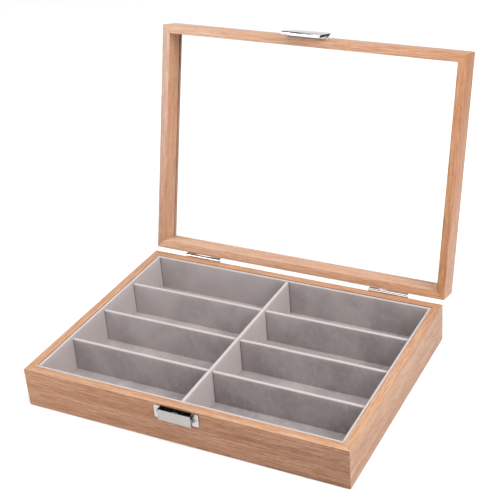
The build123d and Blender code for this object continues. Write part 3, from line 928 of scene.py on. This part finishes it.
def velvet_board(name, node, notches=(), top_wave=1.0):
    """A board wrapped in velvet: folded over its top, soft at its ends and slightly uneven."""
    sizes = bpy.context.scene.box_velvet
    low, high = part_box(node)
    across = high - low
    long_axis = 0 if across.x > across.y else 1
    thick_axis = 1 - long_axis
    if long_axis == 1:
        low = Vector((low.y, low.x, low.z))
        high = Vector((high.y, high.x, high.z))
    thickness = high.y - low.y
    middle = (high.y + low.y) / 2
    outline = notched_outline(low, high, notches)
    shape = prism(bmesh.new(), outline, thick_axis, low.y, high.y)
    tops = []
    for edge in shape.edges:
        first, second = (vertex.co for vertex in edge.verts)
        along = abs(first[long_axis] - second[long_axis]) > NEAR
        if along and min(first.z, second.z) > high.z - NEAR:
            tops.append(edge)
    soften(shape, tops, min(sizes.fold, thickness * 0.46), 5)
    slice_up(shape, long_axis, low.x, high.x, sizes.step)
    slice_up(shape, 2, low.z, high.z - sizes.fold, sizes.step)
    # The fold mask pales the top fold: partly the pressed pile, partly painted highlight.
    mask = shape.verts.layers.float.new("fold")
    for vertex in shape.verts:
        place = vertex.co.copy()
        drop = high.z - place.z
        vertex[mask] = clamp(1.25 - drop / (sizes.fold * 0.9))
        share = clamp((place.z - low.z) / (high.z - low.z))
        side = (place[thick_axis] - middle) / (thickness / 2)
        vertex.co[thick_axis] -= side * wandering(place * 34.0) * sizes.unevenness * share
        wave = wandering(Vector((place.x * 22.0, place.y * 22.0, 3.7)))
        vertex.co.z -= wave * sizes.top_wander * share * top_wave
    bmesh.ops.recalc_face_normals(shape, faces=shape.faces)
    # Painted light: the boards that run front to back take the paler side velvet.
    if long_axis == 1:
        velvet = velvet_material("Side velvet", sizes.lit_side_pile, 0.0)
    else:
        left_ends = (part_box("liner_left")[1].x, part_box("divider_centre")[1].x)
        velvet = velvet_material("Grey velvet", sizes.pile, sizes.lean, left_ends)
    finish_piece(name, shape, [velvet], "case", "velvet", [node])


class OBJECT_OT_box_floor_pad(bpy.types.Operator):
    """Model the velvet pad on the floor of the slots"""

    bl_idname = "organizer_box.floor_pad"
    bl_label = "Floor pad"

    def execute(self, context):
        sizes = context.scene.box_velvet
        low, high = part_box("floor_pad")
        shape = brick(bmesh.new(), low, high)
        soften(shape, sharp_edges(shape), sizes.pad_round, 2)
        slice_up(shape, 0, low.x, high.x, sizes.step)
        slice_up(shape, 1, low.y, high.y, sizes.step)
        columns = [low.x, 0.0, high.x]
        rows = [low.y, high.y]
        for number in (1, 2, 3):
            board_low, board_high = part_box("divider_cross_" + str(number))
            rows.append((board_low.y + board_high.y) / 2)
        shape.verts.layers.float.new("fold")
        for vertex in shape.verts:
            if vertex.co.z < high.z - NEAR:
                continue
            near_x = min(abs(vertex.co.x - column) for column in columns)
            near_y = min(abs(vertex.co.y - row) for row in rows)
            pressed = math.exp(-min(near_x, near_y) / PAD_REACH)
            vertex.co.z -= sizes.pad_dip * (0.7 * pressed + 0.3 * wandering(vertex.co * 30.0))
        bmesh.ops.recalc_face_normals(shape, faces=shape.faces)
        # The floor velvet is painted paler towards the back left as painted light.
        velvet = velvet_material("Floor velvet", sizes.pad_pile, sizes.pad_lighting)
        pad = finish_piece("pad", shape, [velvet], "case", "velvet", ["floor_pad"])
        return {"FINISHED"}


class OBJECT_OT_box_liners(bpy.types.Operator):
    """Model the velvet boards that line the four walls"""

    bl_idname = "organizer_box.liners"
    bl_label = "Liners"

    def execute(self, context):
        for side in ("front", "back", "left", "right"):
            velvet_board("lining_" + side, "liner_" + side, top_wave=0.6)
        return {"FINISHED"}


class OBJECT_OT_box_dividers(bpy.types.Operator):
    """Model the centre divider and the three cross dividers, notched into each other"""

    bl_idname = "organizer_box.dividers"
    bl_label = "Dividers"

    def execute(self, context):
        centre_low, centre_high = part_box("divider_centre")
        play = context.scene.box_wood.panel_play
        over = []
        for number in (3, 2, 1):
            name = "divider_cross_" + str(number)
            low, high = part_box(name)
            middle = (low.z + high.z) / 2
            over.append((low.y - play, high.y + play, middle + play, True))
            under = (centre_low.x - play, centre_high.x + play, middle, False)
            velvet_board("cross_board_" + str(number), name, [under])
        over.sort()
        velvet_board("centre_board", "divider_centre", over)
        return {"FINISHED"}


# Hardware


def bent_sheet(outline, half, thickness, left_open, bends):
    """A sheet bent from a flat: its side view drawn out along X, opened, bent and given its thickness."""
    shape = prism(bmesh.new(), outline, 0, -half, half)
    gone = [face for face in shape.faces if left_open(face.calc_center_median(), face.normal)]
    bmesh.ops.delete(shape, geom=gone, context="FACES")
    for radius, chosen in bends:
        soften(shape, [edge for edge in sharp_edges(shape, 60.0) if chosen(edge)], radius, 5)
    bmesh.ops.recalc_face_normals(shape, faces=shape.faces)
    bmesh.ops.solidify(shape, geom=list(shape.faces), thickness=thickness)
    bmesh.ops.recalc_face_normals(shape, faces=shape.faces)
    return shape


class OBJECT_OT_box_hinges(bpy.types.Operator):
    """Dress the two hinges, with their pins and screws"""

    bl_idname = "organizer_box.hinges"
    bl_label = "Hinges"

    def execute(self, context):
        edge = context.scene.box_metal.edge
        for side in ("left", "right"):
            metal_piece("case_leaf_" + side, "hinge_case_leaf_" + side, "case", edge)
            metal_piece("lid_leaf_" + side, "hinge_lid_leaf_" + side, "lid", edge)
            metal_piece("leaf_pin_" + side, "hinge_pin_" + side, "case")
        metal_piece("leaf_screws_case", "hinge_screws_case", "case")
        metal_piece("leaf_screws_lid", "hinge_screws_lid", "lid")
        return {"FINISHED"}


class OBJECT_OT_box_catch(bpy.types.Operator):
    """Dress the catch on the case front, with its sprung lever"""

    bl_idname = "organizer_box.catch"
    bl_label = "Catch"

    def execute(self, context):
        sizes = context.scene.box_metal
        dark = dark_material()
        # Painted highlight: the spring is paler and less metallic than bare steel, so that its coil shows
        # as a bright dot in the dark slot.
        steel = metal_material("Spring steel", sizes.steel, 0.4, 0.15, 0.4)
        satin = metal_material("Satin plating", sizes.satin, 0.28, 0.1)
        brushed = metal_material("Brushed plating", sizes.brushed, 0.28, 0.1)
        low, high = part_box("catch_lever")
        inner = high.x - sizes.lever_sheet

        plate = cad_copy("catch_base_plate", sizes.edge)
        for place in (-inner, inner):
            cut(plate, (place, 0.0, 0.0), (1.0, 0.0, 0.0))
        # Painted shade: the plate between the lever's cheeks is near black.
        for face in plate.faces:
            face.material_index = 1 if abs(face.calc_center_median().x) < inner else 0
        finish_piece("catch_plate", plate, [satin, dark], "case", "chrome", ["catch_base_plate"])

        outline = [
            (low.y, low.z),
            (low.y, high.z),
            (high.y, high.z),
            (high.y, low.z + sizes.lever_heel),
            (low.y + sizes.lever_foot, low.z),
        ]
        lever = bent_sheet(
            outline,
            high.x,
            sizes.lever_sheet,
            lambda place, normal: abs(normal.x) < 0.5 and place.y > low.y + NEAR,
            [(sizes.lever_bend, lambda edge: True)],
        )
        # Painted shade: the lever's inner faces are near black.
        for face in lever.faces:
            place = face.calc_center_median()
            inside = abs(place.x) < inner + NEAR and place.y > low.y + sizes.lever_sheet - NEAR
            face.material_index = 1 if inside else 0
        metals = [brushed, dark]
        finish_piece("catch_lever_plate", lever, metals, "catch_lever", "chrome", ["catch_lever"])

        # Painted shade: the pin between the cheeks is near black.
        metal_piece("catch_lever_pin", "catch_pin", "case", 0.0, dark)
        metal_piece("catch_plate_screws", "catch_screws", "case", 0.0, satin)

        # The spring is copied whole, with no body named for it, and its place is baked into its mesh.
        shape = cad_copy("catch_spring")
        coil = finish_piece("catch_coil", shape, [steel], None, "spring", ["catch_spring"])
        spring_low, spring_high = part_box("catch_spring")
        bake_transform(coil)
        return {"FINISHED"}


class OBJECT_OT_box_hasp(bpy.types.Operator):
    """Dress the hasp on the lid, with its base plate"""

    bl_idname = "organizer_box.hasp"
    bl_label = "Hasp"

    def execute(self, context):
        sizes = context.scene.box_metal
        bright = metal_material("Bright plating", sizes.bright, 0.07, 0.1)
        metal_piece("hasp_plate", "hasp_base_plate", "lid", sizes.edge)

        low, high = closed_box("hasp")
        pin_low, pin_high = closed_box("hasp_pin")
        pin = (pin_low.z + pin_high.z) / 2
        outline = [
            (low.y, low.z),
            (low.y, high.z),
            (low.y + sizes.hasp_sheet * 1.25, high.z),
            (high.y - sizes.ear_slope, pin + sizes.ear_top),
            (high.y, pin),
            (high.y, pin - sizes.ear_foot),
            (low.y + sizes.hasp_lip, low.z),
        ]
        cover = bent_sheet(
            outline,
            high.x,
            sizes.hasp_sheet,
            lambda place, normal: abs(normal.x) < 0.5 and self.is_back(place, low),
            [
                (sizes.hasp_bend, lambda edge: self.is_long(edge)),
                (sizes.lever_bend, lambda edge: not self.is_long(edge)),
            ],
        )
        # Painted shade and painted dark reflection: the hasp's faces behind its front bend are near
        # black, and so is the band of each cheek next to its front; the front, its bend and the faces
        # along its lower edge keep the bright plating.
        band = low.y + sizes.hasp_cheek_shade
        cut(cover, (0.0, band, 0.0), (0.0, 1.0, 0.0))
        for face in cover.faces:
            place = face.calc_center_median()
            unshaded = place.y < low.y + sizes.hasp_bend or place.z < low.z + NEAR
            if abs(place.x) > high.x - NEAR:
                unshaded = place.y > band
            face.material_index = 0 if unshaded else 1
        open_up(cover)
        finish_piece("hasp_cover", cover, [bright, dark_material()], "hasp", "chrome", ["hasp"])

        metal_piece("hasp_cover_pin", "hasp_pin", "lid")
        metal_piece("hasp_plate_screws", "hasp_screws", "lid")
        return {"FINISHED"}

    def is_back(self, place, low):
        """Whether a place lies behind the cover's front face and above its lip."""
        return place.y > low.y + NEAR and place.z > low.z + NEAR

    def is_long(self, edge):
        """Whether an edge runs along X."""
        return abs(edge.verts[0].co.x - edge.verts[1].co.x) > 0.01


# Stage


def stage_sheet(name, shape, material, mirrored_only=False):
    """A flat object of the stage. One for mirroring only shows in polished metal and nowhere else."""
    mesh = bpy.data.meshes.new(name)
    shape.to_mesh(mesh)
    shape.free()
    mesh.materials.append(material)
    sheet = bpy.data.objects.new(name, mesh)
    if mirrored_only:
        sheet.visible_camera = False
        sheet.visible_diffuse = False
        sheet.visible_shadow = False
        sheet.visible_transmission = False
    bpy.context.scene.collection.objects.link(sheet)


def soft_light(name, power, size, place):
    """A square area light that faces the box."""
    data = bpy.data.lights.new(name, "AREA")
    data.energy = power
    data.shape = "SQUARE"
    data.size = size
    lamp = bpy.data.objects.new(name, data)
    lamp.location = place
    lamp.rotation_mode = "QUATERNION"
    lamp.rotation_quaternion = (Vector(place) - Vector((0.0, 0.0, 0.05))).to_track_quat("Z", "Y")
    bpy.context.scene.collection.objects.link(lamp)


class OBJECT_OT_box_stage(bpy.types.Operator):
    """Set the camera, the pale floor and the soft lights"""

    bl_idname = "organizer_box.stage"
    bl_label = "Stage"

    def execute(self, context):
        scene = context.scene
        studio = scene.box_studio
        scene.view_settings.view_transform = "Standard"

        self.set_camera(scene, studio)
        self.lay_floor(studio)
        self.hang_flag(studio)
        self.stand_card(studio)

        world = bpy.data.worlds.new("Studio")
        world.use_nodes = True
        background = world.node_tree.nodes["Background"]
        background.inputs["Color"].default_value = (1.0, 1.0, 1.0, 1.0)
        background.inputs["Strength"].default_value = studio.sky
        scene.world = world
        soft_light("Key light", studio.key, 1.0, (1.7, -0.35, 1.3))
        soft_light("Top light", studio.top, 1.6, (0.19, -0.3, 2.0))
        soft_light("Fill light", studio.fill, 0.6, (-1.05, -0.95, 0.9))
        return {"FINISHED"}

    def set_camera(self, scene, studio):
        """Stands the camera where the photograph was taken from."""
        azimuth, elevation, roll = studio.azimuth, studio.elevation, studio.roll
        flat = math.cos(elevation)
        back = Vector((math.sin(azimuth) * flat, -math.cos(azimuth) * flat, math.sin(elevation)))
        level = Vector((math.cos(azimuth), math.sin(azimuth), 0.0))
        upright = back.cross(level)
        right = math.cos(roll) * level + math.sin(roll) * upright
        up = math.cos(roll) * upright - math.sin(roll) * level
        camera_data = bpy.data.cameras.new("Camera")
        camera_data.sensor_width = 36.0
        camera_data.lens = studio.lens
        camera_data.shift_x = studio.shift_x
        camera_data.shift_y = studio.shift_y
        camera = bpy.data.objects.new("Camera", camera_data)
        scene.collection.objects.link(camera)
        turned = Matrix((right, up, back)).transposed().to_4x4()
        place = Vector(studio.target) + back * studio.distance
        camera.matrix_world = Matrix.Translation(place) @ turned
        scene.camera = camera

    def lay_floor(self, studio):
        """The plain pale floor, a hair below the box."""
        shape = bmesh.new()
        cuts = studio.floor_cuts
        bmesh.ops.create_grid(shape, x_segments=cuts, y_segments=cuts, size=studio.floor / 2)
        bmesh.ops.translate(shape, vec=(0.0, 0.0, -studio.floor_gap), verts=shape.verts)
        material, tree, surface, place = new_material("Pale floor")
        pale = opaque(studio.floor_colour)
        dimmer = opaque([part * 0.985 for part in studio.floor_colour])
        tone = blend(tree, cloudy(tree, place, 3.0, 2.0), pale, dimmer)
        tree.links.new(tone, surface.inputs["Base Color"])
        surface.inputs["Roughness"].default_value = 0.85
        surface.inputs["Specular IOR Level"].default_value = 0.2
        stage_sheet("floor", shape, material)

    def hang_flag(self, studio):
        """The black cloth overhead, which gives the polished metal its dark lines."""
        shape = bmesh.new()
        bmesh.ops.create_grid(shape, x_segments=1, y_segments=1, size=studio.flag / 2)
        bmesh.ops.translate(shape, vec=(0.0, 0.0, studio.flag_height), verts=shape.verts)
        material, tree, surface, place = new_material("Black cloth")
        weave = cloudy(tree, place, 60.0, 2.0)
        black = blend(tree, weave, (0.01, 0.01, 0.01, 1.0), (0.02, 0.02, 0.02, 1.0))
        tree.links.new(black, surface.inputs["Base Color"])
        surface.inputs["Roughness"].default_value = 1.0
        surface.inputs["Specular IOR Level"].default_value = 0.0
        stage_sheet("flag", shape, material, True)

    def stand_card(self, studio):
        """The white card in front, which gives the polished metal its bright faces."""
        shape = bmesh.new()
        bmesh.ops.create_grid(shape, x_segments=1, y_segments=1, size=studio.card / 2)
        bmesh.ops.scale(shape, vec=(3.0, 1.0, 1.0), verts=shape.verts)
        upright = Matrix.Rotation(math.pi / 2, 3, "X")
        bmesh.ops.rotate(shape, cent=(0.0, 0.0, 0.0), matrix=upright, verts=shape.verts)
        bmesh.ops.translate(shape, vec=(-1.2, -3.4, studio.card / 2), verts=shape.verts)
        material, tree, surface, place = new_material("White card")
        fibres = cloudy(tree, place, 8.0, 2.0)
        white = blend(tree, fibres, (1.0, 1.0, 1.0, 1.0), (0.97, 0.97, 0.97, 1.0))
        tree.links.new(white, surface.inputs["Emission Color"])
        surface.inputs["Emission Strength"].default_value = studio.card_glow
        stage_sheet("card", shape, material, True)


class VIEW3D_PT_organizer_box(bpy.types.Panel):
    """Lists the pieces of the box and their sizes"""

    bl_label = "Organizer box"
    bl_idname = "VIEW3D_PT_organizer_box"
    bl_space_type = "VIEW_3D"
    bl_region_type = "UI"
    bl_category = "Organizer box"

    def draw(self, context):
        layout = self.layout
        for operator in OPERATORS:
            layout.operator(operator.bl_idname)
        scene = context.scene
        for group in (scene.box_wood, scene.box_velvet, scene.box_metal, scene.box_studio):
            box = layout.box()
            for name in group.bl_rna.properties.keys():
                if name not in ("rna_type", "name"):
                    box.prop(group, name)


OPERATORS = (
    OBJECT_OT_box_stage,
    OBJECT_OT_box_case_walls,
    OBJECT_OT_box_panel,
    OBJECT_OT_box_floor_pad,
    OBJECT_OT_box_liners,
    OBJECT_OT_box_dividers,
    OBJECT_OT_box_lid_frame,
    OBJECT_OT_box_pane,
    OBJECT_OT_box_hinges,
    OBJECT_OT_box_catch,
    OBJECT_OT_box_hasp,
)
GROUPS = (BoxWood, BoxVelvet, BoxMetal, BoxStudio)
CLASSES = GROUPS + OPERATORS + (VIEW3D_PT_organizer_box,)


def register():
    for cls in CLASSES:
        bpy.utils.register_class(cls)
    bpy.types.Scene.box_wood = PointerProperty(type=BoxWood)
    bpy.types.Scene.box_velvet = PointerProperty(type=BoxVelvet)
    bpy.types.Scene.box_metal = PointerProperty(type=BoxMetal)
    bpy.types.Scene.box_studio = PointerProperty(type=BoxStudio)


def unregister():
    del bpy.types.Scene.box_studio
    del bpy.types.Scene.box_metal
    del bpy.types.Scene.box_velvet
    del bpy.types.Scene.box_wood
    for cls in reversed(CLASSES):
        bpy.utils.unregister_class(cls)


def main():
    register()
    bpy.ops.organizer_box.stage()
    bpy.ops.organizer_box.case_walls()
    bpy.ops.organizer_box.panel()
    bpy.ops.organizer_box.floor_pad()
    bpy.ops.organizer_box.liners()
    bpy.ops.organizer_box.dividers()
    bpy.ops.organizer_box.lid_frame()
    bpy.ops.organizer_box.pane()
    bpy.ops.organizer_box.hinges()
    bpy.ops.organizer_box.catch()
    bpy.ops.organizer_box.hasp()


if __name__ == "__main__":
    main()
